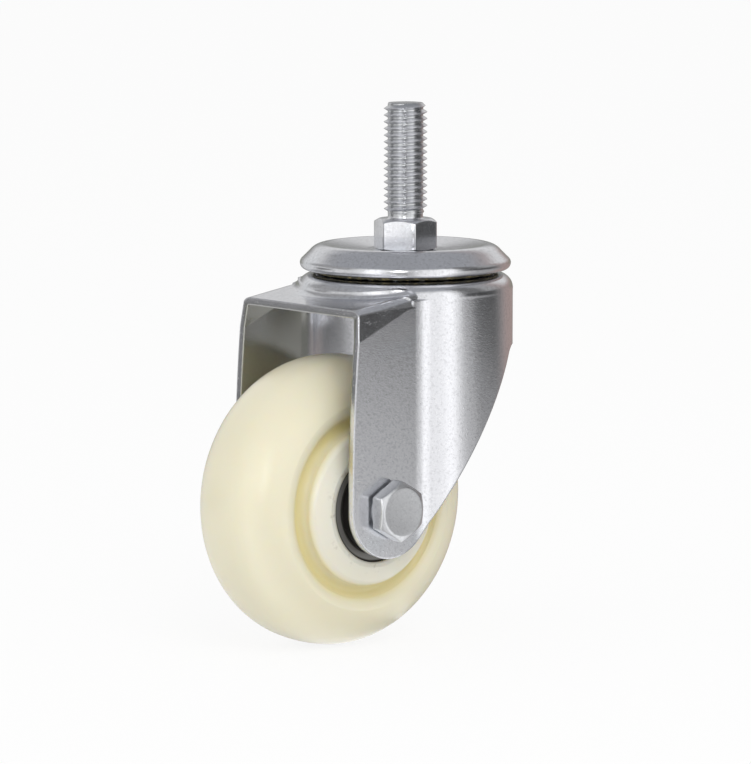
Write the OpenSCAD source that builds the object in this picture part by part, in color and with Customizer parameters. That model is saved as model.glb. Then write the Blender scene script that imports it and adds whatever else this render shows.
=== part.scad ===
// Swivel castor with a threaded stem, a pressed yoke and a nylon wheel.
// Frame: the collar's top face is z = 0 on the swivel axis, the stem points
// to +Z, the wheel trails to -X and the axle lies along Y.

/* [Stem] */
// Nominal diameter of the threaded stem
stem_d = 12; // [10:1:14]
// Length of the stem above the collar
stem_l = 32; // [20:1:50]
// Chamfer at the stem's tip
stem_chamfer = 1.2; // [0.4:0.1:2]
// Pitch of the stem's thread
thread_pitch = 1.85; // [1.25:0.05:2.5]
// Hexagon collar, across its flats
collar_af = 15.6; // [14.6:0.1:20]
// Height of the hexagon collar
collar_h = 8.5; // [6:0.5:12]
// Turn of the hexagon about the stem
collar_turn = 6.5; // [0:0.5:59]
// Diameter of the king pin below the collar
pin_d = 13; // [10:0.5:14]
// Diameter of the king pin's peened end
rivet_d = 18; // [16:0.5:20]
// Height of the king pin's peened end
rivet_h = 2.6; // [1.5:0.1:4]

/* [Top cap] */
// Outer diameter over the rolled rim
cap_d = 58.4; // [54:0.2:64]
// Thickness of the cap's sheet
cap_t = 2.3; // [1.8:0.1:2.8]
// Diameter of the flat seat under the collar
cap_seat_d = 22.2; // [21:0.2:25]
// Rise of the crown over the seat
crown_rise = 1.5; // [0.8:0.1:2.5]
// Inner radius of the crown, between the dish and the skirt
crown_in_r = 2.7; // [1.5:0.1:2.7]
// Drop from the crown to the middle of the rim
cap_drop = 5.2; // [4.6:0.1:6]
// Radius of the rolled rim
rim_r = 1.7; // [1.3:0.1:2]

/* [Ball races] */
// Diameter of the upper balls
upper_ball_d = 6.35; // [5.5:0.05:7]
// Diameter of the lower balls
lower_ball_d = 5; // [4:0.1:6]
// Pitch diameter of the lower ring
lower_race_d = 25; // [24:0.5:27]
// Thickness of the lower race cup
cup_t = 2.2; // [1.6:0.1:3]
// Running clearance round each ball
race_clear = 0.1; // [0.05:0.05:0.15]
// Open slot between the cap's rim and the yoke
race_slot = 1.3; // [0.8:0.1:2]

/* [Yoke] */
// Outer diameter of the yoke's round head
head_d = 59.6; // [58:0.2:62]
// Thickness of the yoke's sheet
sheet_t = 2; // [1.6:0.1:2.6]
// Outer radius of the head's shoulder
shoulder_r = 4; // [3.4:0.1:4.4]
// Rise of the head's middle over the shoulder
head_rise = 2; // [1.6:0.1:2.4]
// Width across the outside of the legs
fork_w = 50.8; // [49:0.2:53]
// Outer radius of the fold between web and legs
fold_r = 3.4; // [2.7:0.1:4.4]
// Radius of the blend between leg and head, in plan
flare_r = 14; // [8:1:18]
// Radius of the blend between web and head
web_blend_r = 2; // [1:0.1:2.6]
// Slope of the web, in degrees
web_slope = 9; // [6:0.5:12]
// Height of the web's front edge below the collar's top
web_drop = 21.2; // [20:0.1:24]
// Reach of the web's front edge ahead of the axle
web_reach = 10.6; // [8:0.2:13]
// Drop of the leg's slanting crease below the web's front edge
crease_drop = 8; // [5:0.5:12]
// Angle between that crease and the web, in degrees
crease_angle = 15; // [10:1:20]
// Lean of the sheet above the crease, in degrees
crease_lean = 8; // [2:1:10]
// Radius of the leg's round end
lobe_r = 13.4; // [11:0.2:15]
// Radius of the leg's bowed front edge
front_bow_r = 500; // [250:10:800]
// Depth of the head's back edge below the collar's top
back_drop = 34.7; // [31:0.1:38]
// Slope of the leg's back edge, in degrees
back_slope = 55.5; // [52:0.5:60]
// Radius between the leg's back edge and the head's
back_blend_r = 5; // [2:0.5:8]

/* [Wheel] */
// Wheel diameter
wheel_d = 80; // [74:1:84]
// Width over the rim
wheel_w = 33.6; // [30:0.2:36]
// Radius across the middle of the tread
crown_r = 30; // [25:1:36]
// Radius of the tread's shoulders
tread_shoulder_r = 14.5; // [12:0.5:15]
// Outer diameter of the groove beside the hub
groove_od = 48.6; // [47.4:0.2:51]
// Inner diameter of the groove beside the hub
groove_id = 43.6; // [41:0.2:44]
// Radius of the tread's lip at the groove
lip_r = 4; // [2:0.2:5]
// Length of the hub
hub_l = 40; // [38.5:0.1:41]
// Diameter of the hub's flat end
hub_end_d = 33; // [31.6:0.2:36]
// Height of the hub's cone
hub_cone_h = 1.6; // [1:0.1:2.4]
// Radius of the hub's edge at the groove
hub_edge_r = 2.5; // [1.5:0.1:3]
// Wheel axis behind the swivel axis
trail = 27; // [24:0.1:29]
// Wheel axis below the collar's top
axle_drop = 75.8; // [73:0.1:80]

/* [Bearings] */
// Outer diameter of a bearing
bearing_od = 30; // [30:0.5:31]
// Width of a bearing
bearing_w = 9; // [8:0.5:10]
// Diameter of a bearing's balls
bearing_ball_d = 4.76; // [4:0.02:5]
// Number of balls in a bearing
bearing_balls = 8; // [6:1:8]
// How far a bearing lies inside the hub's end
bearing_inset = 0.5; // [0.2:0.1:1]
// Outer diameter of the spacer tube and washers
spacer_d = 14.6; // [13:0.2:15]

/* [Axle bolt] */
// Nominal diameter of the axle bolt and the bearings' bore
bolt_d = 10; // [8:0.5:10]
// Bolt head, across its flats
bolt_af = 14.6; // [12:0.2:16]
// Height of the bolt head
bolt_head_h = 5.3; // [4:0.1:7]
// Lock nut, across its flats
nut_af = 16; // [14:0.5:18]
// Height of the lock nut's hexagon
nut_hex_h = 6.6; // [5:0.2:8]
// Height of the lock nut's round collar
nut_collar_h = 3; // [2.4:0.2:4]
// Length of bolt beyond the nut
bolt_spare = 2; // [1:0.5:5]
// Clearance of the bolt in its bores
bolt_clear = 0.05; // [0.02:0.01:0.1]
// Clearance of the bolt in the legs
leg_hole_clear = 0.2; // [0.1:0.05:0.4]

/* [Hidden] */
$fn = 96;
eps = 0.01;
far_out = 200;
// How far a rounding runs past the faces it joins, so that they cross cleanly
kiss = 0.03;

// Where a line from a point rests on a circle, anticlockwise of it
function touch_point(a, c, r) =
    let (d = a - c, t = atan2(d[1], d[0]) - acos(r / norm(d))) c + r * [cos(t), sin(t)];

// The upper of the two places where circles about a and b meet, a being on the left
function circles_meet(a, ra, b, rb) =
    let (l = norm(b - a), u = (b - a) / l, t = (ra * ra - rb * rb + l * l) / (2 * l))
    a + t * u + sqrt(ra * ra - t * t) * [-u[1], u[0]];

// Thread of the stem, as rings: a flat crest, two flanks and a flat root
stem_r = stem_d / 2;
thread_depth = 0.6 * thread_pitch;
thread_crest = thread_pitch / 8;
thread_flank = thread_depth * tan(30);
thread_top = stem_l - stem_chamfer;
thread_count = floor(thread_top / thread_pitch - 0.5);
neck_h = thread_top - thread_count * thread_pitch;

// Levels and radii of the swivel head, from the top down
seat_z = -collar_h;
crown_z = seat_z + crown_rise;
rim_z = crown_z - cap_drop;
rim_c = cap_d / 2 - rim_r;
skirt_sum = rim_c + rim_z + rim_r * sqrt(2);
under_sum = skirt_sum - cap_t * sqrt(2);
crown_out_r = crown_in_r + cap_t;
crown_c = [skirt_sum - crown_out_r * sqrt(2) - crown_z + crown_out_r, crown_z - crown_out_r];
dish_edge = [cap_seat_d / 2, seat_z];
dish_touch = touch_point(dish_edge, crown_c, crown_out_r);
dish_n = (dish_touch - crown_c) / crown_out_r;
// The upper balls roll under both the dish and the skirt
upper_gap_r = upper_ball_d / 2 + race_clear;
roll_sum = under_sum - upper_gap_r * sqrt(2);
upper_z = (crown_c * dish_n + crown_in_r - upper_gap_r - roll_sum * dish_n[0]) / (dish_n[1] - dish_n[0]);
upper_r = roll_sum - upper_z;
shoulder_z = rim_z - rim_r - race_slot;
head_z = shoulder_z + head_rise;
head_r = head_d / 2;
shoulder_c = head_r - shoulder_r;
ceiling_z = head_z - sheet_t;
lower_gap_r = lower_ball_d / 2 + race_clear;
lower_dimple = 0.32 * lower_gap_r;
lower_z = ceiling_z + lower_dimple - lower_gap_r;
lower_r = lower_race_d / 2;
cup_z = lower_z - lower_gap_r - cup_t;
upper_count = floor(180 / asin((upper_ball_d / 2 + race_clear) / upper_r));
lower_count = floor(180 / asin((lower_ball_d / 2 + race_clear) / lower_r));

// Plan and side view of the yoke
leg_y = fork_w / 2;
leg_in = leg_y - sheet_t;
axle_p = [-trail, -axle_drop];
front_p = [-trail - web_reach, -web_drop];
function bow_centre() =
    let (d = axle_p - front_p, l = norm(d), r2 = front_bow_r - lobe_r,
         a = (front_bow_r * front_bow_r - r2 * r2 + l * l) / (2 * l),
         h = sqrt(front_bow_r * front_bow_r - a * a), u = d / l)
    front_p + a * u + h * [-u[1], u[0]];
bow_p = bow_centre();
bow_touch = axle_p + lobe_r * (axle_p - bow_p) / norm(axle_p - bow_p);
back_n = [sin(back_slope), -cos(back_slope)];
back_touch = axle_p + lobe_r * back_n;
function back_x(z, out) = -trail + (lobe_r + out + (z + axle_drop) * cos(back_slope)) / sin(back_slope);
heel_c = [back_x(-back_drop - back_blend_r, back_blend_r), -back_drop - back_blend_r];
web_z0 = -web_drop - front_p[0] * tan(web_slope);

// Stack along the axle
function hex_corner(af) = af / 2 / cos(30);
bearing_face = hub_l / 2 - bearing_inset;
bearing_back = bearing_face - bearing_w;
bearing_pitch = (bearing_od + bolt_d) / 4;
ball_gap_r = bearing_ball_d / 2 + race_clear / 2;
inner_land = bearing_pitch - 0.8 * bearing_ball_d / 2;
outer_land = bearing_pitch + 0.84 * bearing_ball_d / 2;
ring_chamfer = 0.4;
shield_t = 0.4;
shield_in = 0.3;
shield_gap = 0.3;
cage_t = 0.8;
cage_w = bearing_ball_d + 1.3;
nut_end = leg_y + nut_hex_h + nut_collar_h;
insert_r = bolt_d / 2 + 1.7;
bolt_chamfer = 1;
// Turn of the bolt's head and the nut about the axle
hex_turn = 30;
insert_t = nut_collar_h - 0.6;
// Flat coined on each leg for the bolt's head and the nut
coin_r = hex_corner(max(bolt_af, nut_af)) + 0.2;

module on_axle() {
    translate([-trail, 0, -axle_drop]) rotate([-90, 0, 0]) children();
}

// A hexagon prism from z = 0 up, its far corners turned down
module hex_prism(af, h, turn = 0, chamfer = 0) {
    corner = hex_corner(af);
    intersection() {
        rotate(turn) cylinder(r = corner, h = h, $fn = 6);
        rotate_extrude() polygon([[0, 0], [corner + 1, 0],
            [corner + 1, h - (corner + 1 - af / 2 + chamfer) * tan(30)], [af / 2 - chamfer, h], [0, h]]);
    }
}

// A ring of balls about Z
module ball_ring(count, d, r, z) {
    for (i = [0 : count - 1]) rotate(360 / count * i) translate([r, 0, z]) sphere(d = d);
}

// One ring of the thread's outline, from the end of a crest to the end of the next
function thread_ring() = [[stem_r - thread_depth, thread_flank],
    [stem_r - thread_depth, thread_pitch - thread_crest - thread_flank],
    [stem_r, thread_pitch - thread_crest], [stem_r, thread_pitch]];

module stem() {
    color("silver") union() {
        rotate_extrude() polygon(concat([[0, -eps], [stem_r, -eps], [stem_r, neck_h]],
            [for (i = [0 : thread_count - 1], p = thread_ring()) p + [0, neck_h + i * thread_pitch]],
            [[stem_r - stem_chamfer, stem_l], [0, stem_l]]));
        translate([0, 0, seat_z]) hex_prism(collar_af, collar_h, collar_turn, 0.3);
        translate([0, 0, cup_z - eps]) cylinder(d = pin_d, h = seat_z - cup_z + 2 * eps);
        rotate_extrude() intersection() {
            translate([0, cup_z - rivet_h]) square([rivet_d / 2, rivet_h]);
            translate([0, cup_z - rivet_h + 0.75 * rivet_d]) circle(r = 0.75 * rivet_d);
        }
    }
}

// Half section of the cap, solid down to the end of its skirt, r across and z up
module cap_solid_section(end_z) {
    union() {
        polygon([[0, end_z], [0, seat_z], dish_edge, dish_touch, crown_c,
            crown_c + crown_out_r / sqrt(2) * [1, 1], [rim_c + rim_r / sqrt(2), rim_z + rim_r / sqrt(2)],
            [rim_c, end_z]]);
        intersection() {
            translate(crown_c) circle(r = crown_out_r + kiss);
            translate([0, crown_c[1]]) square([far_out, far_out]);
        }
    }
}

// Half section of the space under the cap
module cap_hollow_section(end_z) {
    in_touch = crown_c + crown_in_r * dish_n;
    dish = dish_touch - dish_edge;
    in_edge = in_touch[0] - (in_touch[1] - seat_z + cap_t) * dish[0] / dish[1];
    low_z = end_z - far_out;
    union() {
        polygon([[0, low_z], [0, seat_z - cap_t], [in_edge, seat_z - cap_t], in_touch, crown_c,
            crown_c + crown_in_r / sqrt(2) * [1, 1], [under_sum - end_z, end_z], [under_sum - end_z, low_z]]);
        translate(crown_c) circle(r = crown_in_r + kiss);
    }
}

module top_cap() {
    end_z = rim_z - 0.4 * rim_r;
    color("lightsteelblue") union() {
        rotate_extrude() difference() {
            cap_solid_section(end_z);
            cap_hollow_section(end_z);
            translate([0, -far_out]) square([pin_d / 2, 2 * far_out]);
        }
        rotate_extrude() translate([rim_c, rim_z]) circle(r = rim_r + kiss);
    }
}

module upper_balls() {
    color("gray") ball_ring(upper_count, upper_ball_d, upper_r, upper_z);
}

module lower_balls() {
    color("gray") ball_ring(lower_count, lower_ball_d, lower_r, lower_z);
}

module lower_cup() {
    lip_z = lower_z - 0.4 * lower_gap_r;
    color("slategray") rotate_extrude() difference() {
        union() {
            translate([pin_d / 2, cup_z]) square([lower_r - pin_d / 2, cup_t]);
            intersection() {
                translate([lower_r, lower_z]) circle(r = lower_gap_r + cup_t);
                translate([pin_d / 2, cup_z]) square([far_out, lip_z - cup_z]);
            }
        }
        translate([lower_r, lower_z]) circle(r = lower_gap_r);
    }
}

// Half section of the yoke's head, closed below
module head_solid_section() {
    difference() {
        union() {
            translate([0, -far_out]) square([head_r, far_out + shoulder_z - shoulder_r]);
            translate([0, -far_out]) square([shoulder_c, far_out + shoulder_z]);
            translate([shoulder_c, shoulder_z - shoulder_r]) circle(r = shoulder_r + kiss);
            polygon([[0, shoulder_z - 1], [0, head_z], [upper_r - upper_gap_r - head_rise / 4, head_z],
                [upper_r - upper_gap_r / 2, shoulder_z], [upper_r - upper_gap_r / 2, shoulder_z - 1]]);
            translate([lower_r, lower_z]) circle(r = lower_gap_r + sheet_t);
        }
        translate([upper_r, upper_z]) circle(r = upper_gap_r);
        translate([0, -far_out]) square([pin_d / 2 + 1, 2 * far_out]);
    }
}

// Half section of the space inside the head
module head_hollow_section() {
    in_r = shoulder_r - sheet_t;
    union() {
        difference() {
            union() {
                translate([0, -far_out]) square([head_r - sheet_t, far_out + shoulder_z - shoulder_r]);
                translate([0, -far_out]) square([shoulder_c, far_out + shoulder_z - sheet_t]);
                translate([shoulder_c, shoulder_z - shoulder_r]) circle(r = in_r + kiss);
                translate([0, -far_out]) square([upper_r - upper_gap_r, far_out + ceiling_z]);
            }
            translate([upper_r, upper_z]) circle(r = upper_gap_r + sheet_t);
        }
        translate([lower_r, lower_z]) circle(r = lower_gap_r);
    }
}

// Rounded bar along the web's slope, from the swivel axis forward
module fork_bar(half, top, corner) {
    translate([0, 0, top]) rotate([0, -90 - web_slope, 0]) linear_extrude(height = 2 * trail + web_reach)
        union() {
            translate([-far_out, -half]) square([far_out - corner, 2 * half]);
            translate([-far_out, corner - half]) square([far_out, 2 * (half - corner)]);
            for (s = [-1, 1]) translate([-corner, s * (half - corner)]) circle(r = corner);
        }
}

// Space outside the leaning sheet above each leg's crease, moved in by a sheet's thickness or not
module outside_crease(inset) {
    for (s = [0, 1]) mirror([0, s, 0]) translate([front_p[0], -leg_y, -web_drop - crease_drop])
        rotate([0, -web_slope - crease_angle, 0]) rotate([-crease_lean, 0, 0])
        translate([-far_out / 2, inset - far_out, -1]) cube(far_out);
}

// Plan of one flare between a leg's face and the round head
module flare_plan(r_head, half, blend) {
    x = -sqrt(pow(r_head + blend, 2) - pow(half + blend, 2));
    c = [x, -half - blend];
    touch = c * r_head / (r_head + blend);
    for (s = [0, 1]) mirror([0, s]) difference() {
        polygon([[x, -half], [x, -half + 1], touch * 0.95, touch, c]);
        translate(c) circle(r = blend + kiss);
    }
}

module side_view() {
    difference() {
        union() {
            translate(axle_p) circle(r = lobe_r + kiss);
            intersection() {
                translate(bow_p) circle(r = front_bow_r);
                polygon([[-far_out, 0], [head_r + 1, 0], [head_r + 1, -back_drop], [heel_c[0], -back_drop], heel_c,
                    heel_c - back_blend_r * back_n, back_touch, axle_p, axle_p + 2 * (bow_touch - axle_p),
                    [-far_out, bow_touch[1]]]);
            }
        }
        translate(heel_c) circle(r = back_blend_r + kiss);
    }
}

module web_blend() {
    intersection() {
        translate([0, 0, web_z0]) rotate([0, -web_slope, 0]) rotate_extrude() difference() {
            translate([head_r - 1, -1]) square([web_blend_r + 1, web_blend_r + 1]);
            translate([head_r + web_blend_r, web_blend_r]) circle(r = web_blend_r);
        }
        fork_bar(leg_y, web_z0 + web_blend_r, fold_r + web_blend_r);
    }
}

module yoke() {
    skirt_h = axle_drop + lobe_r;
    color("gainsboro") intersection() {
        difference() {
            union() {
                rotate_extrude() intersection() {
                    head_solid_section();
                    translate([0, -skirt_h]) square([far_out, skirt_h]);
                }
                difference() {
                    fork_bar(leg_y, web_z0, fold_r);
                    outside_crease(0);
                    // The bar stays clear of the upper balls' race in the head
                    rotate_extrude() translate([upper_r, upper_z]) circle(r = upper_gap_r + kiss);
                }
                web_blend();
                translate([0, 0, -skirt_h]) linear_extrude(height = skirt_h + web_z0 - trail * tan(web_slope))
                    flare_plan(head_r, leg_y, flare_r);
            }
            rotate_extrude() head_hollow_section();
            difference() {
                fork_bar(leg_in, web_z0 - sheet_t / cos(web_slope), fold_r - sheet_t);
                outside_crease(sheet_t);
            }
            translate([0, 0, -far_out])
                linear_extrude(height = far_out + web_z0 - trail * tan(web_slope) - sheet_t)
                flare_plan(head_r - sheet_t, leg_in, flare_r + sheet_t);
            on_axle() translate([0, 0, -far_out / 2]) cylinder(r = bolt_d / 2 + leg_hole_clear, h = far_out);
            for (s = [0, 1]) mirror([0, s, 0]) on_axle() translate([0, 0, leg_y])
                cylinder(r = coin_r, h = far_out);
        }
        rotate([90, 0, 0]) translate([0, 0, -far_out / 2]) linear_extrude(height = far_out) side_view();
    }
}

// Half section of the wheel, r across and the axle's way up
module wheel_section() {
    r_w = wheel_d / 2;
    half = wheel_w / 2;
    crown_c = r_w - crown_r;
    s_y = half - tread_shoulder_r;
    s_r = crown_c + sqrt(pow(crown_r - tread_shoulder_r, 2) - s_y * s_y);
    touch_y = s_y * crown_r / (crown_r - tread_shoulder_r);
    lip_x = groove_od / 2 + lip_r;
    lip_c = [lip_x, s_y + sqrt(pow(tread_shoulder_r - lip_r, 2) - pow(lip_x - s_r, 2))];
    lip_touch = lip_c + lip_r * (lip_c - [s_r, s_y]) / norm(lip_c - [s_r, s_y]);
    end_p = [hub_end_d / 2, hub_l / 2];
    edge_c = [groove_id / 2 - hub_edge_r, hub_l / 2 - hub_cone_h - 0.8 * hub_edge_r];
    edge_touch = touch_point(end_p, edge_c, hub_edge_r);
    // The groove's round floor rests on the hub's edge and on the tread's lip
    groove_r = 0.6 * (norm(lip_c - edge_c) - lip_r - hub_edge_r);
    groove_c = circles_meet(edge_c, hub_edge_r + groove_r, lip_c, lip_r + groove_r);
    cone_end = end_p + (edge_touch - end_p) * (groove_c[0] - end_p[0]) / (edge_touch[0] - end_p[0]);
    difference() {
        union() {
            translate([0, -half]) square([s_r, wheel_w]);
            for (s = [-1, 1]) translate([s_r, s * s_y]) circle(r = tread_shoulder_r + kiss);
            intersection() {
                translate([crown_c, 0]) circle(r = crown_r);
                translate([0, -touch_y]) square([r_w + 1, 2 * touch_y]);
            }
            polygon([[0, -end_p[1]], [end_p[0], -end_p[1]], [cone_end[0], -cone_end[1]], cone_end, end_p, [0, end_p[1]]]);
        }
        for (s = [0, 1]) mirror([0, s]) {
            difference() {
                polygon([edge_touch, edge_c, groove_c, lip_c, lip_touch, [lip_touch[0], far_out], [edge_touch[0], far_out]]);
                translate(edge_c) circle(r = hub_edge_r + kiss);
                translate(lip_c) circle(r = lip_r + 2 * kiss);
            }
            translate(groove_c) circle(r = groove_r + kiss);
            translate([0, bearing_back]) square([bearing_od / 2, far_out]);
        }
        translate([0, -far_out]) square([outer_land, 2 * far_out]);
    }
}

module wheel() {
    color("ivory") on_axle() rotate_extrude() wheel_section();
}

// Half section of one bearing ring between two radii, grooved for the balls
module ring_section(r1, r2) {
    c = ring_chamfer;
    difference() {
        polygon([[r1 + c, bearing_back], [r2 - c, bearing_back], [r2, bearing_back + c], [r2, bearing_face - c],
            [r2 - c, bearing_face], [r1 + c, bearing_face], [r1, bearing_face - c], [r1, bearing_back + c]]);
        translate([bearing_pitch, (bearing_face + bearing_back) / 2]) circle(r = ball_gap_r);
    }
}

module outer_ring() {
    color("lightgray") on_axle() rotate_extrude() ring_section(outer_land, bearing_od / 2);
}

module inner_ring() {
    color("lightgray") on_axle() rotate_extrude() ring_section(bolt_d / 2, inner_land);
}

module bearing_ball_set() {
    mid = (bearing_face + bearing_back) / 2;
    color("gray") on_axle() ball_ring(bearing_balls, bearing_ball_d, bearing_pitch, mid);
}

module cage() {
    mid = (bearing_face + bearing_back) / 2;
    color("goldenrod") on_axle() difference() {
        rotate_extrude() translate([bearing_pitch - cage_t / 2, mid - cage_w / 2]) square([cage_t, cage_w]);
        for (i = [0 : bearing_balls - 1]) rotate(360 / bearing_balls * i) translate([0, 0, mid])
            rotate([0, 90, 0]) cylinder(r = ball_gap_r, h = bearing_od);
    }
}

module shields() {
    color("dimgray") on_axle() rotate_extrude()
        for (y = [bearing_back + shield_in, bearing_face - shield_in - shield_t])
            translate([inner_land + shield_gap, y]) square([outer_land - inner_land - shield_gap, shield_t]);
}

// The near side, where the bolt's head is, is the far side's mirror image
module near_side() {
    mirror([0, 1, 0]) children();
}

module near_outer_ring() { near_side() outer_ring(); }
module far_outer_ring() { outer_ring(); }
module near_inner_ring() { near_side() inner_ring(); }
module far_inner_ring() { inner_ring(); }
module near_bearing_balls() { near_side() bearing_ball_set(); }
module far_bearing_balls() { bearing_ball_set(); }
module near_cage() { near_side() cage(); }
module far_cage() { cage(); }
module near_shields() { near_side() shields(); }
module far_shields() { shields(); }

// A plain tube on the axle between two places along it
module axle_tube(r_in, r_out, y1, y2) {
    on_axle() rotate_extrude() translate([r_in, y1]) square([r_out - r_in, y2 - y1]);
}

module spacer_tube() {
    color("darkgray") axle_tube(bolt_d / 2 + bolt_clear, spacer_d / 2, -bearing_back, bearing_back);
}

module far_spacer() {
    color("darkgray") axle_tube(bolt_d / 2 + bolt_clear, spacer_d / 2, bearing_face, leg_in);
}

module near_spacer() {
    near_side() far_spacer();
}

module axle_bolt() {
    shank_r = bolt_d / 2 - bolt_clear;
    tip = leg_y + nut_end + bolt_spare + eps;
    color("silver") on_axle() union() {
        translate([0, 0, -leg_y]) mirror([0, 0, 1]) hex_prism(bolt_af, bolt_head_h, hex_turn, 0.5);
        translate([0, 0, -leg_y - eps]) rotate_extrude() polygon([[0, 0], [shank_r, 0],
            [shank_r, tip - bolt_chamfer], [shank_r - bolt_chamfer, tip], [0, tip]]);
    }
}

module lock_nut() {
    collar_r = nut_af / 2 - 0.6;
    color("silver") on_axle() difference() {
        union() {
            translate([0, 0, leg_y]) hex_prism(nut_af, nut_hex_h, hex_turn, 0.2);
            rotate_extrude() polygon([[0, leg_y + 1], [collar_r, leg_y + 1], [collar_r, nut_end - 1.2],
                [collar_r - 1, nut_end], [0, nut_end]]);
        }
        translate([0, 0, -far_out / 2]) cylinder(r = bolt_d / 2, h = far_out);
        translate([0, 0, nut_end - 0.6 - insert_t]) cylinder(r = insert_r, h = insert_t);
    }
}

module nut_insert() {
    color("white") axle_tube(bolt_d / 2, insert_r, nut_end - 0.6 - insert_t, nut_end - 0.6);
}

stem();
top_cap();
upper_balls();
lower_balls();
lower_cup();
yoke();
wheel();
near_outer_ring();
far_outer_ring();
near_inner_ring();
far_inner_ring();
near_bearing_balls();
far_bearing_balls();
near_cage();
far_cage();
near_shields();
far_shields();
spacer_tube();
near_spacer();
far_spacer();
axle_bolt();
lock_nut();
nut_insert();
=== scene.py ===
"""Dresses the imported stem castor: threads, hexagons, grease, finishes, light and camera."""

import math

import bmesh
import bpy
from bpy.props import FloatProperty, FloatVectorProperty, IntProperty, PointerProperty
from mathutils import Matrix, Vector, noise


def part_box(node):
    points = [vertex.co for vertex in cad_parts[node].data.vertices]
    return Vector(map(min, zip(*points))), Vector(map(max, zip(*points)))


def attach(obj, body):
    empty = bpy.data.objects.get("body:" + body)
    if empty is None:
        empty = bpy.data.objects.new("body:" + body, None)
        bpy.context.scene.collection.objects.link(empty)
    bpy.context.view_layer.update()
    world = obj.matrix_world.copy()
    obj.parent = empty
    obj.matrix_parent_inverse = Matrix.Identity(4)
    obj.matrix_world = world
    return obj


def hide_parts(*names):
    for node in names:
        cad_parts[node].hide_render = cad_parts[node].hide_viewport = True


bl_info = {
    "name": "Stem castor dressing",
    "version": (1, 0, 0),
    "blender": (4, 5, 0),
    "location": "View3D > Sidebar > Castor",
    "description": "Builds the visible threads, bolts, grease and finishes of a stem castor",
    "category": "Object",
}

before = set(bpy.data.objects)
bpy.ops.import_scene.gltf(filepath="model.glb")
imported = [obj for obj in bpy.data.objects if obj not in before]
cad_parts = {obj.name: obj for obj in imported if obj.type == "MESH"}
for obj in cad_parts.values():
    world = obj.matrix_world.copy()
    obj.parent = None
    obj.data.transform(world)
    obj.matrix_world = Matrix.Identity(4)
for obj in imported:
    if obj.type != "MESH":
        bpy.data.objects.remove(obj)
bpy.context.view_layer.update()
MM = 0.001

_, STEM_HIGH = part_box("stem")
BOLT_LOW, BOLT_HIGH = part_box("axle_bolt")
NUT_LOW, NUT_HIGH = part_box("lock_nut")
WHEEL_LOW, WHEEL_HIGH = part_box("wheel")
CUP_LOW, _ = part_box("lower_cup")
AXLE = (WHEEL_LOW + WHEEL_HIGH) / 2
FLOOR_Z = WHEEL_LOW.z

# Shares of a thread's pitch and slopes of the cones that trim a hexagon's corners
THREAD_DEPTH = 0.61
THREAD_SOFT = 0.035
NECK_DEPTH = 0.62
TOP_CONE = 0.58
AXLE_HEX_TURN = math.radians(30)

# Radii and levels that the finishes and the grease follow
KING_PIN_R = 6.5 * MM
BEARING_LAND = (12.7 * MM, 14.6 * MM)
SHEET_IN = 23.5 * MM
GREASE_R = 25.3 * MM
GREASE_Z = -14.05 * MM
GREASE_BEAD = 0.95 * MM


class StemSizes(bpy.types.PropertyGroup):
    """Sizes of the threaded stem and its collar."""

    pitch: FloatProperty(
        name="Thread pitch", description="Advance of the stem's thread in a turn",
        default=1.85 * MM, min=0.5 * MM, unit="LENGTH", subtype="DISTANCE")
    radius: FloatProperty(
        name="Thread radius", description="Radius over the stem's crests",
        default=6.0 * MM, min=1 * MM, unit="LENGTH", subtype="DISTANCE")
    neck: FloatProperty(
        name="Neck length", description="Plain neck between collar and thread",
        default=1.4 * MM, min=0, unit="LENGTH", subtype="DISTANCE")
    collar: FloatProperty(
        name="Collar", description="Hexagon collar, across its flats",
        default=15.6 * MM, min=4 * MM, unit="LENGTH", subtype="DISTANCE")
    collar_height: FloatProperty(
        name="Collar height", description="Height of the hexagon collar",
        default=8.5 * MM, min=1 * MM, unit="LENGTH", subtype="DISTANCE")
    collar_turn: FloatProperty(
        name="Collar turn", description="Turn of the hexagon about the stem",
        default=math.radians(6.5), unit="ROTATION", subtype="ANGLE")
    segments: IntProperty(
        name="Segments", description="Steps in one turn of a thread", default=64, min=24, max=128)


class AxleSizes(bpy.types.PropertyGroup):
    """Sizes of the axle bolt and its lock nut."""

    radius: FloatProperty(
        name="Bolt radius", description="Radius of the bolt's shank",
        default=4.95 * MM, min=1 * MM, unit="LENGTH", subtype="DISTANCE")
    pitch: FloatProperty(
        name="Bolt pitch", description="Advance of the bolt's thread in a turn",
        default=1.5 * MM, min=0.5 * MM, unit="LENGTH", subtype="DISTANCE")
    head: FloatProperty(
        name="Bolt head", description="Bolt head, across its flats",
        default=14.6 * MM, min=4 * MM, unit="LENGTH", subtype="DISTANCE")
    head_height: FloatProperty(
        name="Head height", description="Height of the bolt's head",
        default=5.3 * MM, min=1 * MM, unit="LENGTH", subtype="DISTANCE")
    nut: FloatProperty(
        name="Nut", description="Lock nut, across its flats",
        default=16.0 * MM, min=4 * MM, unit="LENGTH", subtype="DISTANCE")
    nut_height: FloatProperty(
        name="Nut hexagon", description="Height of the nut's hexagon",
        default=6.6 * MM, min=1 * MM, unit="LENGTH", subtype="DISTANCE")


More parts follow.
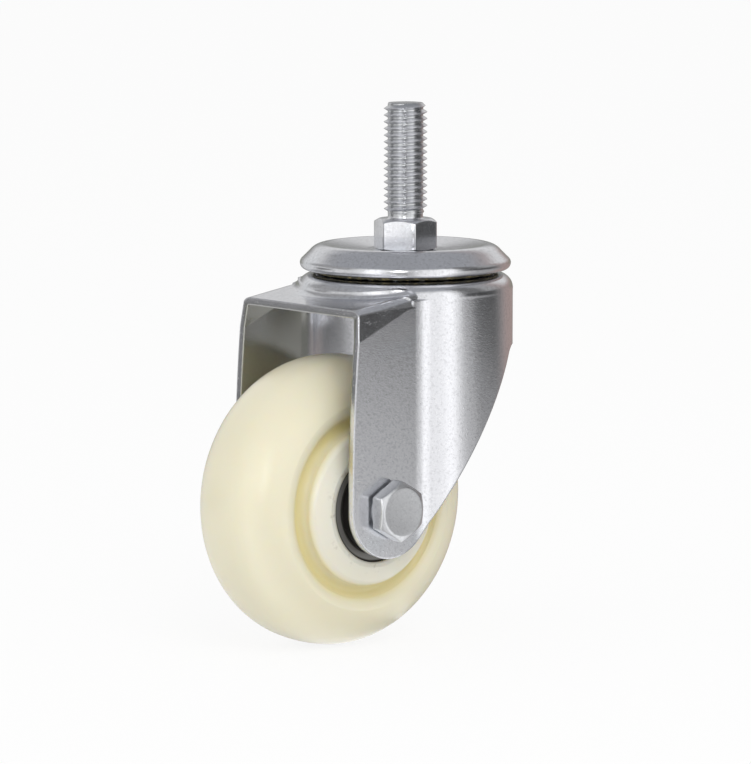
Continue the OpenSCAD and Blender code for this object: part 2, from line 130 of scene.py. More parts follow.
class FinishColours(bpy.types.PropertyGroup):
    """Colours of the castor's finishes."""

    zinc: FloatVectorProperty(
        name="Zinc plate", description="Bright zinc on the pressed sheet",
        default=(0.80, 0.805, 0.835), subtype="COLOR", min=0, max=1)
    bolt_zinc: FloatVectorProperty(
        name="Bolt zinc", description="Satin zinc on the bolt and nut",
        default=(0.76, 0.77, 0.79), subtype="COLOR", min=0, max=1)
    nylon: FloatVectorProperty(
        name="Nylon", description="Cream nylon of the wheel",
        default=(0.82, 0.78, 0.61), subtype="COLOR", min=0, max=1)
    grease: FloatVectorProperty(
        name="Grease", description="Grease in the upper ball race",
        default=(0.045, 0.041, 0.026), subtype="COLOR", min=0, max=1)
    floor: FloatVectorProperty(
        name="Floor", description="Plain pale floor",
        default=(0.92, 0.92, 0.92), subtype="COLOR", min=0, max=1)


class Wire:
    """A node's output socket, with arithmetic that adds Math nodes."""

    def __init__(self, paint, socket):
        self.paint = paint
        self.socket = socket

    def math(self, operation, *others):
        """One Math node with this wire as its first value."""
        values = dict(enumerate((self, *others)))
        return self.paint.add("ShaderNodeMath", {"operation": operation}, values)

    def __add__(self, other):
        return self.math("ADD", other)

    __radd__ = __add__

    def __mul__(self, other):
        return self.math("MULTIPLY", other)

    __rmul__ = __mul__

    def __sub__(self, other):
        return self.math("SUBTRACT", other)

    def __rsub__(self, other):
        return self.paint.add("ShaderNodeMath", {"operation": "SUBTRACT"}, {0: other, 1: self})

    def __truediv__(self, other):
        return self.math("DIVIDE", other)

    def __pow__(self, other):
        return self.math("POWER", other)

    def ramp(self, low, high):
        """A smooth step from 0 at low to 1 at high."""
        return self.paint.add(
            "ShaderNodeMapRange", {"interpolation_type": "SMOOTHSTEP"},
            {"Value": self, "From Min": low, "From Max": high})

    def band(self, rise_from, rise_to, fall_from, fall_to):
        """A smooth band that is 1 between two steps."""
        return self.ramp(rise_from, rise_to) * (1 - self.ramp(fall_from, fall_to))


class Paint:
    """A node tree being filled, for a material or the world."""

    def __init__(self, owner):
        owner.use_nodes = True
        self.owner = owner
        self.tree = owner.node_tree
        self.tree.nodes.clear()

    def add(self, kind, settings=None, sockets=None, out=0):
        """A node of that kind, its settings first and then its sockets; returns one output."""
        node = self.tree.nodes.new(kind)
        for key, value in (settings or {}).items():
            if key == "stops":
                self.set_stops(node.color_ramp, value)
            else:
                setattr(node, key, value)
        for key, value in (sockets or {}).items():
            if isinstance(value, Wire):
                self.tree.links.new(value.socket, node.inputs[key])
            else:
                node.inputs[key].default_value = value
        return Wire(self, node.outputs[out]) if len(node.outputs) else None

    @staticmethod
    def set_stops(ramp, stops):
        """Gives a colour ramp its places and colours."""
        while len(ramp.elements) < len(stops):
            ramp.elements.new(0.5)
        for element, (place, colour) in zip(ramp.elements, stops):
            element.position = place
            element.color = colour

    def place(self):
        """Object coordinates, in metres."""
        return self.add("ShaderNodeTexCoord", out="Object")

    def axes(self, vector):
        """The x, y and z of a vector."""
        first = self.add("ShaderNodeSeparateXYZ", None, {0: vector})
        node = first.socket.node
        return [Wire(self, socket) for socket in node.outputs]

    def axle_reach(self):
        """Distance from the wheel's axle."""
        east, _, height = self.axes(self.place())
        across = east - AXLE.x
        drop = height - AXLE.z
        return (across * across + drop * drop) ** 0.5

    def grain(self, scale, detail=3.0, rough=0.55):
        """Noise from 0 to 1, with scale in cells per metre."""
        return self.add(
            "ShaderNodeTexNoise", None,
            {"Vector": self.place(), "Scale": scale, "Detail": detail, "Roughness": rough})

    def tint(self, factor, one, two):
        """A colour between two colours."""
        sockets = {0: factor, 6: solid(one), 7: solid(two)}
        return self.add("ShaderNodeMix", {"data_type": "RGBA"}, sockets, 2)

    def bump(self, height, depth, strength=1.0, normal=None):
        """A surface normal from a height between 0 and 1 and a depth in metres."""
        sockets = {"Height": height, "Distance": depth, "Strength": strength}
        if normal:
            sockets["Normal"] = normal
        return self.add("ShaderNodeBump", None, sockets)

    def surface(self, **sockets):
        """The Principled shader, joined to the material's output."""
        named = {key.replace("_", " "): value for key, value in sockets.items()}
        shader = self.add("ShaderNodeBsdfPrincipled", None, named)
        self.add("ShaderNodeOutputMaterial", None, {"Surface": shader})
        return self.owner


def solid(colour):
    """A colour with its alpha, or a wire as it is."""
    return colour if isinstance(colour, Wire) else (*colour[:3], 1.0)


def new_paint(name):
    """An empty material to fill."""
    return Paint(bpy.data.materials.new(name))


def coat(piece, material):
    """Gives a piece one material."""
    piece.data.materials.clear()
    piece.data.materials.append(material)


def coat_node(node, material):
    """Gives a carried-over solid its finish."""
    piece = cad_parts[node]
    coat(piece, material)


def zinc_finish(name, colour, rough, grain_depth, edge, root=0.0, inside=0.0):
    """Zinc plate: specks, cloudy gloss, soft edges; painted shade with some dirt in thread roots, painted
    shade and reflection with some oil inside the fork.
    """
    paint = new_paint(name)
    cloud = paint.grain(90, 4)
    speck = paint.grain(2600, 2)
    mottle = paint.grain(1150, 3, 0.6)
    blue = (colour[0] * 0.93, colour[1], colour[2] * 1.03)
    base = paint.tint(cloud, [c * 0.92 for c in colour], colour)
    base = paint.tint(paint.grain(38, 2).ramp(0.56, 0.78) * 0.5, base, blue)
    base = paint.tint(mottle.ramp(0.48, 0.70) * 0.46, base, [c * 0.70 for c in colour])
    base = paint.tint(speck.ramp(0.58, 0.72) * 0.5, base, (0.96, 0.96, 0.96))
    if root:
        east, north, height = paint.axes(paint.place())
        reach = (east * east + north * north) ** 0.5
        # Painted shade, with some dirt, darkens the thread roots above the collar.
        root_shade_and_grime = (1 - reach.ramp(root, root + 1.0 * MM)) * height.ramp(0.3 * MM, 0.9 * MM)
        base = paint.tint(root_shade_and_grime * 0.36, base, (0.30, 0.32, 0.31))
    if inside:
        east, north, height = paint.axes(paint.place())
        # Painted shade and olive reflection, with some oil, darken the inner faces of the fork.
        inside_shade_and_film = 1 - north.math("ABSOLUTE").ramp(inside, inside + 0.8 * MM)
        inside_shade_and_film = inside_shade_and_film * (1 - east.ramp(-14 * MM, -8 * MM)) * (1 - height.ramp(-24 * MM, -22 * MM))
        base = paint.tint(inside_shade_and_film * 0.8, base, (0.50, 0.50, 0.44))
    gloss = rough + (cloud - 0.5) * 0.12 + (mottle - 0.5) * 0.14
    normal = paint.add("ShaderNodeBevel", {"samples": 6}, {"Radius": edge})
    pits = paint.grain(1700, 1).ramp(0.66, 0.78)
    normal = paint.bump(speck * 0.8 + mottle * 0.2 + pits * 0.9, grain_depth, 0.6, normal)
    return paint.surface(Base_Color=base, Metallic=1.0, Roughness=gloss, Normal=normal)


def bearing_steel(name, colour, rough, metal=1.0, land=None):
    """Ground steel with a fine grain, dark on both sides of the land, if one is given, with painted shade
    and some oil.
    """
    paint = new_paint(name)
    cloud = paint.grain(160, 3)
    fine = paint.grain(2600, 2)
    base = paint.tint(cloud, [c * 0.85 for c in colour], colour)
    if land:
        inner, outer = land
        bare_land = paint.axle_reach().band(inner, inner + 0.4 * MM, outer - 0.4 * MM, outer)
        # Painted shade, with some oil, darkens the ring on both sides of the land.
        base = paint.tint((1 - bare_land) * 0.85, base, (0.022, 0.020, 0.016))
    normal = paint.bump(fine, 0.02 * MM, 0.4)
    gloss = rough + (fine - 0.5) * 0.1
    return paint.surface(Base_Color=base, Metallic=metal, Roughness=gloss, Normal=normal)


def nylon_finish(colour):
    """Cream nylon: faint clouds, fine pores, a paler hub, painted shade and yellow bounce light in the
    crease, smudges and painted shade at the bore.
    """
    paint = new_paint("cream_nylon")
    cloud = paint.grain(26, 4)
    pores = paint.grain(1500, 3)
    base = paint.tint(cloud, colour, (colour[0] * 0.96, colour[1] * 0.95, colour[2] * 0.90))
    reach = paint.axle_reach()
    near_bore = reach.band(15.0 * MM, 15.4 * MM, 15.8 * MM, 19.0 * MM)
    smudge = paint.grain(420, 4, 0.65).ramp(0.56, 0.74) * near_bore
    crease = reach.band(21.0 * MM, 23.2 * MM, 24.0 * MM, 27.2 * MM)
    hub = 1 - reach.ramp(20.4 * MM, 22.6 * MM)
    bore_rim = 1 - reach.ramp(14.9 * MM, 15.7 * MM)
    base = paint.tint(hub * 0.8, base, (0.79, 0.765, 0.67))
    # Painted shade and yellow bounce light make the crease darker and yellower.
    base = paint.tint(crease * 0.9, base, (0.76, 0.66, 0.30))
    base = paint.tint(smudge * 0.5, base, (0.30, 0.24, 0.17))
    # Painted shade darkens the nylon brown at the bore's edge, where the bearing meets it.
    base = paint.tint(bore_rim * 0.6, base, (0.30, 0.23, 0.13))
    normal = paint.bump(pores, 0.03 * MM, 0.3)
    return paint.surface(
        Base_Color=base, Roughness=0.34 + (cloud - 0.5) * 0.10, Normal=normal, Coat_Weight=0.55,
        Coat_Roughness=0.25, Subsurface_Weight=0.45, Subsurface_Radius=(1.0, 0.72, 0.38),
        Subsurface_Scale=5.0 * MM)


def grease_finish(colour):
    """Dark grease with straw-coloured flecks."""
    paint = new_paint("race_grease")
    lumps = paint.grain(700, 4, 0.6)
    flecks = paint.grain(900, 2).ramp(0.54, 0.66)
    base = paint.tint(lumps, colour, [c * 2.6 for c in colour])
    base = paint.tint(flecks * 0.75, base, (0.36, 0.29, 0.13))
    normal = paint.bump(lumps, 0.25 * MM, 0.8)
    return paint.surface(Base_Color=base, Roughness=0.32 + lumps * 0.2, Normal=normal)


def new_piece(name, bm, body, material, smooth=math.radians(28)):
    """Makes a mesh object from a bmesh, rides it on a body and gives it its finish."""
    bmesh.ops.remove_doubles(bm, verts=bm.verts, dist=0.002 * MM)
    bmesh.ops.recalc_face_normals(bm, faces=bm.faces)
    mesh = bpy.data.meshes.new(name)
    bm.to_mesh(mesh)
    bm.free()
    for face in mesh.polygons:
        face.use_smooth = True
    mesh.set_sharp_from_angle(angle=smooth)
    piece = bpy.data.objects.new(name, mesh)
    bpy.context.scene.collection.objects.link(piece)
    coat(piece, material)
    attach(piece, body)
    return piece


def ring(bm, radius, z, segments):
    """A circle of edges about Z."""
    made = bmesh.ops.create_circle(bm, cap_ends=False, segments=segments, radius=radius)
    bmesh.ops.translate(bm, verts=made["verts"], vec=(0, 0, z))
    return list({edge for vert in made["verts"] for edge in vert.link_edges})


def grow(bm, loop, shape):
    """Extrudes a loop of edges and puts the new vertices where shape(angle) says, as (radius, z)."""
    made = bmesh.ops.extrude_edge_only(bm, edges=loop)["geom"]
    for vert in (g for g in made if isinstance(g, bmesh.types.BMVert)):
        angle = math.atan2(vert.co.y, vert.co.x)
        radius, z = shape(angle)
        vert.co = (radius * math.cos(angle), radius * math.sin(angle), z)
    return [g for g in made if isinstance(g, bmesh.types.BMEdge)]


def grow_all(bm, loop, shapes):
    """Extrudes a loop through a list of shapes and returns the last loop."""
    for shape in shapes:
        loop = grow(bm, loop, shape)
    return loop


def hex_radius(across, turn, angle):
    """Distance from a hexagon's middle to its side at an angle."""
    sixth = math.pi / 3
    return across / 2 / math.cos((angle - turn) % sixth - sixth / 2)


def hex_shape(across, turn, z, slope, inner):
    """Places a hexagon's rim, where a cone of that slope cuts its corners back from z."""
    def at(angle):
        radius = hex_radius(across, turn, angle)
        return radius, z - slope * max(0.0, radius - inner)
    return at


def round_shape(radius, z):
    """Places a plain circle."""
    return lambda angle: (radius, z)


def soften(bm, width, least=math.radians(17), segments=2):
    """Rounds the edges that turn by more than an angle."""
    sharp = [e for e in bm.edges if len(e.link_faces) == 2 and e.calc_face_angle(0) > least]
    bmesh.ops.bevel(
        bm, geom=sharp, offset=width, offset_type="OFFSET", segments=segments, profile=0.5,
        affect="EDGES", clamp_overlap=True, material=-1)


def close(bm, loop):
    """Fills a loop of edges with one flat face."""
    bmesh.ops.edgeloop_fill(bm, edges=loop)


def open_loops(bm, z, slack):
    """The boundary edges that lie at a level."""
    return [e for e in bm.edges if e.is_boundary and all(abs(v.co.z - z) < slack for v in e.verts)]


def absorb(bm, other):
    """Moves another bmesh's shape into this one."""
    mesh = bpy.data.meshes.new("moved_shape")
    other.to_mesh(mesh)
    other.free()
    bm.from_mesh(mesh)
    bpy.data.meshes.remove(mesh)


def cut_thread(bm, radius, pitch, low, high, chamfer, neck, segments, lead=0.0):
    """A screw thread from low to high about Z, run out to the neck below, chamfered above; its top loop."""
    depth = THREAD_DEPTH * pitch
    soft = THREAD_SOFT * pitch
    root = radius - depth
    steps = (
        (root + soft, 0.0), (root, 0.05), (root, 0.21), (root + soft, 0.26), (radius - soft, 0.565),
        (radius, 0.585), (radius, 0.645), (radius - soft, 0.665), (root + soft, 1.0))
    start = low - 2 * pitch + lead
    turns = math.ceil((high - start) / pitch) + 1
    chain = [bm.verts.new((r, 0, start + share * pitch)) for r, share in steps]
    edges = [bm.edges.new(pair) for pair in zip(chain, chain[1:])]
    bmesh.ops.spin(
        bm, geom=chain + edges, cent=(0, 0, 0), axis=(0, 0, 1), dvec=(0, 0, pitch / segments),
        angle=turns * math.tau, steps=turns * segments, use_merge=False, use_duplicate=False)
    bmesh.ops.remove_doubles(bm, verts=bm.verts, dist=0.003 * MM)
    for level, above in ((high, True), (low, False)):
        bmesh.ops.bisect_plane(
            bm, geom=bm.verts[:] + bm.edges[:] + bm.faces[:], dist=0.0005 * MM, plane_co=(0, 0, level),
            plane_no=(0, 0, 1), clear_outer=above, clear_inner=not above)
    for vert in bm.verts:
        z = vert.co.z
        limit = min(neck + (z - low) * 0.9, root + depth - chamfer + (high - z))
        flat = Vector((vert.co.x, vert.co.y))
        if flat.length > limit:
            flat *= limit / flat.length
            vert.co = (flat.x, flat.y, z)
    return open_loops(bm, high, 0.01 * MM)


def stand_on_axle(bm):
    """Turns a shape made about Z so that it lies along the axle, with Z along +Y."""
    turn = Matrix.Translation((AXLE.x, 0, AXLE.z)) @ Matrix.Rotation(-math.pi / 2, 4, "X")
    bmesh.ops.transform(bm, matrix=turn, verts=bm.verts)


class CASTOR_OT_stem(bpy.types.Operator):
    """Make the threaded stem, its collar and the king pin below it"""

    bl_idname = "castor.stem"
    bl_label = "Threaded stem"

    def execute(self, context):
        sizes = context.scene.castor_stem
        colours = context.scene.castor_colours
        bm = bmesh.new()
        neck = sizes.radius - NECK_DEPTH * sizes.pitch
        top = cut_thread(
            bm, sizes.radius, sizes.pitch, sizes.neck, STEM_HIGH.z, 1.3 * MM, neck, sizes.segments,
            lead=1.205 * MM)
        close(bm, grow(bm, top, round_shape(sizes.radius - 1.6 * MM, STEM_HIGH.z)))
        flat = 0.47 * sizes.collar
        foot = 0.485 * sizes.collar
        base = -sizes.collar_height
        cup = CUP_LOW.z
        shank = bmesh.new()
        loop = grow_all(shank, ring(shank, neck, sizes.neck, 96), (
            round_shape(neck, 0.25 * MM),
            round_shape(neck + 0.35 * MM, 0.0),
            round_shape(flat, 0.0),
            hex_shape(sizes.collar, sizes.collar_turn, 0.0, TOP_CONE, flat),
            hex_shape(sizes.collar, sizes.collar_turn, base, -0.3, foot),
            round_shape(foot, base),
            round_shape(KING_PIN_R, base),
            round_shape(KING_PIN_R, cup),
            round_shape(8.6 * MM, cup),
            round_shape(9.0 * MM, cup - 0.5 * MM),
            round_shape(7.6 * MM, cup - 1.4 * MM),
            round_shape(5.0 * MM, cup - 2.2 * MM),
            round_shape(2.2 * MM, cup - 2.55 * MM)))
        close(shank, loop)
        soften(shank, 0.14 * MM)
        absorb(bm, shank)
        bmesh.ops.bridge_loops(bm, edges=open_loops(bm, sizes.neck, 0.02 * MM))
        finish = zinc_finish("stem_zinc_plate", colours.zinc, 0.24, 0.03 * MM, 0.12 * MM, neck)
        piece = new_piece("threaded_stem", bm, "mount", finish)
        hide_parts("stem")
        return {"FINISHED"}


class CASTOR_OT_axle_bolt(bpy.types.Operator):
    """Make the axle bolt with its hexagon head and threaded tip"""

    bl_idname = "castor.axle_bolt"
    bl_label = "Axle bolt"

    def execute(self, context):
        sizes = context.scene.castor_axle
        colours = context.scene.castor_colours
        seat = BOLT_LOW.y + sizes.head_height
        tip = BOLT_HIGH.y
        start = tip - 4.5 * MM
        root = sizes.radius - NECK_DEPTH * sizes.pitch
        bm = bmesh.new()
        top = cut_thread(bm, sizes.radius, sizes.pitch, start, tip, 1.0 * MM, root, 64)
        close(bm, grow(bm, top, round_shape(sizes.radius - 1.3 * MM, tip)))
        flat = 0.455 * sizes.head
        washer_face = 0.42 * sizes.head
        underside = seat - 0.9 * MM
        head = bmesh.new()
        loop = grow_all(head, ring(head, root, start, 96), (
            round_shape(sizes.radius, start - 0.6 * MM),
            round_shape(sizes.radius, seat),
            round_shape(washer_face, seat),
            round_shape(washer_face, underside),
            hex_shape(sizes.head, AXLE_HEX_TURN, underside, 0.0, washer_face),
            hex_shape(sizes.head, AXLE_HEX_TURN, BOLT_LOW.y, -TOP_CONE, flat),
            round_shape(flat, BOLT_LOW.y),
            round_shape(flat - 1.0 * MM, BOLT_LOW.y + 0.10 * MM)))
        close(head, loop)
        soften(head, 0.22 * MM, segments=3)
        absorb(bm, head)
        bmesh.ops.bridge_loops(bm, edges=open_loops(bm, start, 0.02 * MM))
        stand_on_axle(bm)
        finish = zinc_finish("bolt_zinc_plate", colours.bolt_zinc, 0.36, 0.05 * MM, 0.45 * MM)
        piece = new_piece("hex_axle_bolt", bm, "fork", finish)
        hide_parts("axle_bolt")
        return {"FINISHED"}


class CASTOR_OT_lock_nut(bpy.types.Operator):
    """Make the lock nut with its rolled collar"""

    bl_idname = "castor.lock_nut"
    bl_label = "Lock nut"

    def execute(self, context):
        sizes = context.scene.castor_axle
        base = NUT_LOW.y
        end = NUT_HIGH.y
        flat = 0.47 * sizes.nut
        shoulder = base + sizes.nut_height
        collar = sizes.nut / 2 - 0.6 * MM
        bore = sizes.radius + 0.05 * MM
        bm = bmesh.new()
        first = ring(bm, bore, base, 96)
        last = grow_all(bm, first, (
            round_shape(flat, base),
            hex_shape(sizes.nut, AXLE_HEX_TURN, base, -0.4, flat),
            hex_shape(sizes.nut, AXLE_HEX_TURN, shoulder, TOP_CONE, collar),
            round_shape(collar, shoulder),
            round_shape(collar, end - 1.2 * MM),
            round_shape(collar - 0.3 * MM, end - 0.45 * MM),
            round_shape(collar - 1.0 * MM, end),
            round_shape(bore + 1.3 * MM, end - 0.1 * MM),
            round_shape(bore + 1.1 * MM, end - 0.6 * MM),
            round_shape(bore + 1.1 * MM, end - 3.0 * MM),
            round_shape(bore, end - 3.0 * MM)))
        bmesh.ops.bridge_loops(bm, edges=last + first)
        soften(bm, 0.2 * MM)
        stand_on_axle(bm)
        finish = bpy.data.materials["bolt_zinc_plate"]
        piece = new_piece("hex_lock_nut", bm, "fork", finish)
        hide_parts("lock_nut")
        return {"FINISHED"}


class CASTOR_OT_grease(bpy.types.Operator):
    """Make the lumpy bead of grease that shows in the upper race"""

    bl_idname = "castor.grease"
    bl_label = "Race grease"

    def execute(self, context):
        colours = context.scene.castor_colours
        bm = bmesh.new()
        made = bmesh.ops.create_circle(bm, cap_ends=False, segments=14, radius=GREASE_BEAD)
        stand = Matrix.Translation((GREASE_R, 0, GREASE_Z)) @ Matrix.Rotation(math.pi / 2, 4, "X")
        bmesh.ops.transform(bm, matrix=stand, verts=made["verts"])
        bmesh.ops.spin(
            bm, geom=bm.verts[:] + bm.edges[:], cent=(0, 0, 0), axis=(0, 0, 1), dvec=(0, 0, 0),
            angle=math.tau, steps=260, use_merge=True, use_duplicate=False)
        bmesh.ops.remove_doubles(bm, verts=bm.verts, dist=0.003 * MM)
        bmesh.ops.recalc_face_normals(bm, faces=bm.faces)
        bm.normal_update()
        for vert in bm.verts:
            lump = noise.noise(vert.co * 900) * 0.7 + noise.noise(vert.co * 2300) * 0.3
            vert.co -= vert.normal * (0.22 + 0.30 * lump) * MM
        finish = grease_finish(colours.grease)
        new_piece("race_grease", bm, "swivel_balls", finish)
        return {"FINISHED"}


class CASTOR_OT_sheet(bpy.types.Operator):
    """Give the pressed sheet parts their zinc"""

    bl_idname = "castor.sheet"
    bl_label = "Pressed sheet"

    def execute(self, context):
        colours = context.scene.castor_colours
        sheet = zinc_finish("sheet_zinc_plate", colours.zinc, 0.18, 0.035 * MM, 0.65 * MM, inside=SHEET_IN)
        for node in ("yoke", "top_cap", "lower_cup"):
            coat_node(node, sheet)
        return {"FINISHED"}


class CASTOR_OT_wheel(bpy.types.Operator):
    """Give the wheel its nylon"""

    bl_idname = "castor.wheel"
    bl_label = "Wheel"

    def execute(self, context):
        colours = context.scene.castor_colours
        coat_node("wheel", nylon_finish(colours.nylon))
        return {"FINISHED"}


class CASTOR_OT_bearings(bpy.types.Operator):
    """Give the bearings, balls, spacers and nut ring their finishes"""

    bl_idname = "castor.bearings"
    bl_label = "Bearings"

    def execute(self, context):
        steel = bearing_steel("ring_ground_steel", (0.24, 0.235, 0.22), 0.30, 0.4)
        rim = bearing_steel("rim_steel_oil_and_shade", (0.27, 0.265, 0.25), 0.30, 0.4, BEARING_LAND)
        ball = bearing_steel("ball_polished_steel", (0.66, 0.66, 0.67), 0.12)
        shield = bearing_steel("shield_pressed_steel", (0.20, 0.195, 0.19), 0.42)
        brass = bearing_steel("cage_brass", (0.60, 0.42, 0.16), 0.34)
        white = new_paint("insert_white_nylon")
        cloud = white.grain(300, 3)
        base = white.tint(cloud, (0.80, 0.80, 0.77), (0.70, 0.70, 0.66))
        ring_nylon = white.surface(Base_Color=base, Roughness=0.4 + cloud * 0.1)
        for side in ("near", "far"):
            coat_node(f"{side}_outer_ring", rim)
            for node in ("inner_ring", "spacer"):
                coat_node(f"{side}_{node}", steel)
            coat_node(f"{side}_bearing_balls", ball)
            coat_node(f"{side}_cage", brass)
            coat_node(f"{side}_shields", shield)
        for node in ("upper_balls", "lower_balls"):
            coat_node(node, ball)
        coat_node("spacer_tube", steel)
        coat_node("nut_insert", ring_nylon)
        return {"FINISHED"}


CAMERA_TURN = math.radians(40.443)
CAMERA_RISE = math.radians(7.41)
CAMERA_REACH = 1182.93 * MM
CAMERA_AIM = Vector((0, 0, -44.36 * MM))
CAMERA_SHIFT = (8.27 * MM, 1.375 * MM)
CAMERA_LENS = 200.5
FLOOR_GLOW = 0.88
AIR_LIGHT = 0.78
TENT_RADIUS = 1.7
TENT_HEIGHT = 2.0


def camera_axes():
    """The camera's right, up and back directions."""
    back = Vector((-math.sin(CAMERA_TURN) * math.cos(CAMERA_RISE),
                   -math.cos(CAMERA_TURN) * math.cos(CAMERA_RISE), math.sin(CAMERA_RISE)))
    right = Vector((math.cos(CAMERA_TURN), -math.sin(CAMERA_TURN), 0))
    return right, back.cross(right), back


def add_camera():
    """A long lens at the photograph's angle."""
    right, up, back = camera_axes()
    place = CAMERA_AIM + back * CAMERA_REACH - right * CAMERA_SHIFT[0] - up * CAMERA_SHIFT[1]
    data = bpy.data.cameras.new("photo_camera")
    data.lens = CAMERA_LENS
    data.clip_start = 0.05
    camera = bpy.data.objects.new("photo_camera", data)
    bpy.context.scene.collection.objects.link(camera)
    turn = Matrix((right, up, back)).transposed().to_4x4()
    camera.matrix_world = Matrix.Translation(place) @ turn
    bpy.context.scene.camera = camera


def add_lamp(name, side, front, rise, size, power):
    """A soft square lamp that faces the castor, placed by the camera's right, front and height."""
    right, _, back = camera_axes()
    ahead = Vector((back.x, back.y, 0)).normalized()
    place = right * side + ahead * front + Vector((0, 0, rise))
    data = bpy.data.lights.new(name, "AREA")
    data.size = size
    data.energy = power
    lamp = bpy.data.objects.new(name, data)
    bpy.context.scene.collection.objects.link(lamp)
    aim = (CAMERA_AIM - place).to_track_quat("-Z", "Y")
    lamp.matrix_world = Matrix.Translation(place) @ aim.to_matrix().to_4x4()
    lamp.visible_glossy = False


def stage_piece(name, bm):
    """Makes an object of the stage from a bmesh."""
    mesh = bpy.data.meshes.new(name)
    bm.to_mesh(mesh)
    bm.free()
    piece = bpy.data.objects.new(name, mesh)
    bpy.context.scene.collection.objects.link(piece)
    return piece


def add_floor(colour):
    """A wide pale floor under the wheel, lit for the eye to near white and shaded by the castor."""
    bm = bmesh.new()
    bmesh.ops.create_circle(bm, cap_ends=True, segments=96, radius=9)
    bmesh.ops.translate(bm, verts=bm.verts, vec=(0, 0, FLOOR_Z))
    floor = stage_piece("floor", bm)
    paint = new_paint("pale_floor")
    speck = paint.grain(3, 2)
    base = paint.tint(speck, colour, [c * 0.995 for c in colour])
    cloth = paint.add(
        "ShaderNodeBsdfPrincipled", None,
        {"Base Color": base, "Roughness": 1.0, "Specular IOR Level": 0.0})
    glow = paint.add("ShaderNodeEmission", None, {"Color": (1, 1, 1, 1), "Strength": 1.0})
    seen = paint.add("ShaderNodeLightPath", out="Is Camera Ray")
    rays = seen.socket.node.outputs
    for name in ("Is Glossy Ray", "Is Transmission Ray"):
        seen = seen.math("MAXIMUM", Wire(paint, rays[name]))
    mixed = paint.add("ShaderNodeMixShader", None, {0: seen * FLOOR_GLOW, 1: cloth, 2: glow})
    paint.add("ShaderNodeOutputMaterial", None, {"Surface": mixed})
    coat(floor, paint.owner)


# Brightness round the tent's wall, by the angle from the camera's front, and its brightest lamp
TENT_WALL = (
    (-180, 0.30), (-160, 0.34), (-150, 0.66), (-125, 0.72), (-99, 0.90), (-62, 0.70), (-48, 0.85),
    (-40, 1.45), (-31, 1.45), (-25, 0.98), (-14, 0.55), (-3, 0.36), (5, 0.50), (14, 0.85), (22, 1.04),
    (36, 1.06), (44, 1.26), (50, 1.32), (57, 0.88), (62, 0.68), (68, 0.58), (74, 0.55), (78, 0.52),
    (84, 0.40), (125, 0.36), (140, 0.36), (160, 0.32), (180, 0.30))
TENT_PEAK = 7.0


def tent_light(red, green=None, blue=None):
    """A grey, or a colour, as a share of the tent's brightest lamp."""
    parts = (red, red, red) if green is None else (red, green, blue)
    return [part / TENT_PEAK for part in parts]


def add_tent():
    """A light tent that only reflections see: pale and dark cards round the wall, a lamp and a dim top."""
    bm = bmesh.new()
    bmesh.ops.create_cone(
        bm, cap_ends=True, segments=64, radius1=TENT_RADIUS, radius2=TENT_RADIUS, depth=TENT_HEIGHT)
    bmesh.ops.translate(bm, verts=bm.verts, vec=(0, 0, FLOOR_Z + TENT_HEIGHT / 2 + 0.4 * MM))
    bmesh.ops.reverse_faces(bm, faces=bm.faces)
    tent = stage_piece("light_tent", bm)
    right, _, back = camera_axes()
    ahead = Vector((back.x, back.y)).normalized()
    paint = new_paint("tent_cloth")
    east, north, height = paint.axes(paint.place())
    side = east * right.x + north * right.y
    front = east * ahead.x + north * ahead.y
    degrees = 180 / math.pi
    turn = side.math("ARCTAN2", front) * degrees
    reach = (side * side + front * front) ** 0.5
    rise = (height - CAMERA_AIM.z).math("ARCTAN2", reach) * degrees
    stops = [((angle + 180) / 360, (*tent_light(value), 1)) for angle, value in TENT_WALL]
    cloth = paint.add("ShaderNodeValToRGB", {"stops": stops}, {"Fac": (turn + 180) / 360})
    warm = turn.band(108, 140, 160, 174)
    cloth = paint.tint(warm * 0.7, cloth, tent_light(0.42, 0.30, 0.27))
    olive = (1 - front.ramp(-1.55, -1.4)) * (1 - rise.ramp(2, 9))
    cloth = paint.tint(olive * 0.7, cloth, tent_light(0.24, 0.25, 0.20))
    low = rise + (turn - 74) * 0.04
    flag = turn.band(70, 80, 104, 134) * low.ramp(-6.0, -5.0) * (1 - rise.ramp(9, 16))
    cloth = paint.tint(flag, cloth, tent_light(0.08))
    skirting = turn.band(-116, -110, -90, -82) * rise.band(-15, -10, 4, 8)
    cloth = paint.tint(skirting, cloth, tent_light(0.20))
    shade = turn.band(-140, -128, -68, -58) * rise.band(9, 16, 48, 60)
    cloth = paint.tint(shade, cloth, tent_light(0.36))
    behind = (1 - front.ramp(-1.45, -1.0)) * rise.band(9, 19, 28, 46)
    cloth = paint.tint(behind, cloth, tent_light(0.76))
    cloth = paint.tint(rise.ramp(28, 55), cloth, tent_light(0.36, 0.37, 0.39))
    fold = turn.band(60, 65, 92, 100) * rise.ramp(-4.6, -3.4)
    cloth = paint.tint(fold * (1 - rise.ramp(12, 18)), cloth, tent_light(0.06))
    cloth = paint.tint(fold * rise.band(12, 18, 50, 60), cloth, tent_light(0.16))
    lamp = turn.band(-14, -10, -4, 0) * rise.band(5, 9, 22, 29)
    cloth = paint.tint(lamp, cloth, tent_light(TENT_PEAK))
    glow = paint.add("ShaderNodeEmission", None, {"Color": cloth, "Strength": TENT_PEAK})
    paint.add("ShaderNodeOutputMaterial", None, {"Surface": glow})
    coat(tent, paint.owner)
    tent.visible_camera = False
    tent.visible_diffuse = False
    tent.visible_transmission = False
    tent.visible_shadow = False


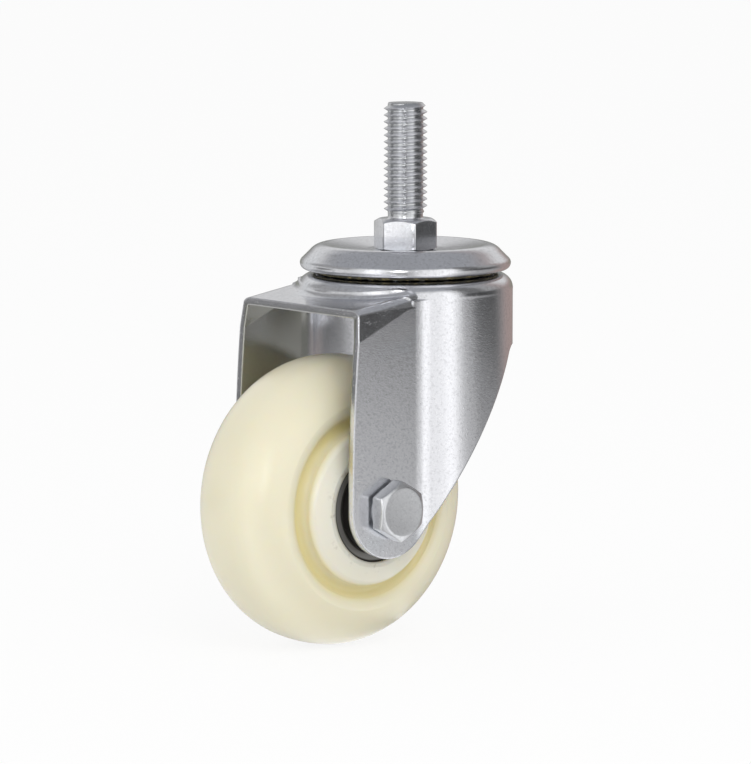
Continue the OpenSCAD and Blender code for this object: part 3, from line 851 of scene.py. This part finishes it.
def add_world():
    """Even pale light from all round."""
    world = bpy.data.worlds.new("studio_air")
    bpy.context.scene.world = world
    paint = Paint(world)
    air = paint.add("ShaderNodeBackground", None, {"Color": (1, 1, 1, 1), "Strength": AIR_LIGHT})
    paint.add("ShaderNodeOutputWorld", None, {"Surface": air})


class CASTOR_OT_stage(bpy.types.Operator):
    """Set the camera, the floor, the lamps and the light tent"""

    bl_idname = "castor.stage"
    bl_label = "Stage"

    def execute(self, context):
        add_camera()
        add_floor(context.scene.castor_colours.floor)
        add_tent()
        add_world()
        add_lamp("key_lamp", side=0.35, front=1.1, rise=0.9, size=0.8, power=5.5)
        add_lamp("fill_lamp", side=-1.1, front=0.8, rise=0.5, size=0.9, power=2.2)
        context.scene.view_settings.view_transform = "Standard"
        return {"FINISHED"}


class CASTOR_PT_sidebar(bpy.types.Panel):
    """Lists the castor's pieces in the sidebar"""

    bl_idname = "CASTOR_PT_sidebar"
    bl_label = "Stem castor"
    bl_space_type = "VIEW_3D"
    bl_region_type = "UI"
    bl_category = "Castor"

    def draw(self, context):
        for operator in OPERATORS:
            self.layout.operator(operator.bl_idname)
        for name in GROUPS:
            group = getattr(context.scene, name)
            for key in group.bl_rna.properties.keys():
                if key not in ("rna_type", "name"):
                    self.layout.prop(group, key)


OPERATORS = (
    CASTOR_OT_stage, CASTOR_OT_stem, CASTOR_OT_axle_bolt, CASTOR_OT_lock_nut, CASTOR_OT_grease,
    CASTOR_OT_sheet, CASTOR_OT_wheel, CASTOR_OT_bearings)
GROUPS = {"castor_stem": StemSizes, "castor_axle": AxleSizes, "castor_colours": FinishColours}


def register():
    for group in GROUPS.values():
        bpy.utils.register_class(group)
    for name, group in GROUPS.items():
        setattr(bpy.types.Scene, name, PointerProperty(type=group))
    for operator in OPERATORS:
        bpy.utils.register_class(operator)
    bpy.utils.register_class(CASTOR_PT_sidebar)


def unregister():
    bpy.utils.unregister_class(CASTOR_PT_sidebar)
    for operator in reversed(OPERATORS):
        bpy.utils.unregister_class(operator)
    for name, group in GROUPS.items():
        delattr(bpy.types.Scene, name)
        bpy.utils.unregister_class(group)


def main():
    register()
    for operator in OPERATORS:
        group, name = operator.bl_idname.split(".")
        getattr(getattr(bpy.ops, group), name)()


if __name__ == "__main__":
    main()
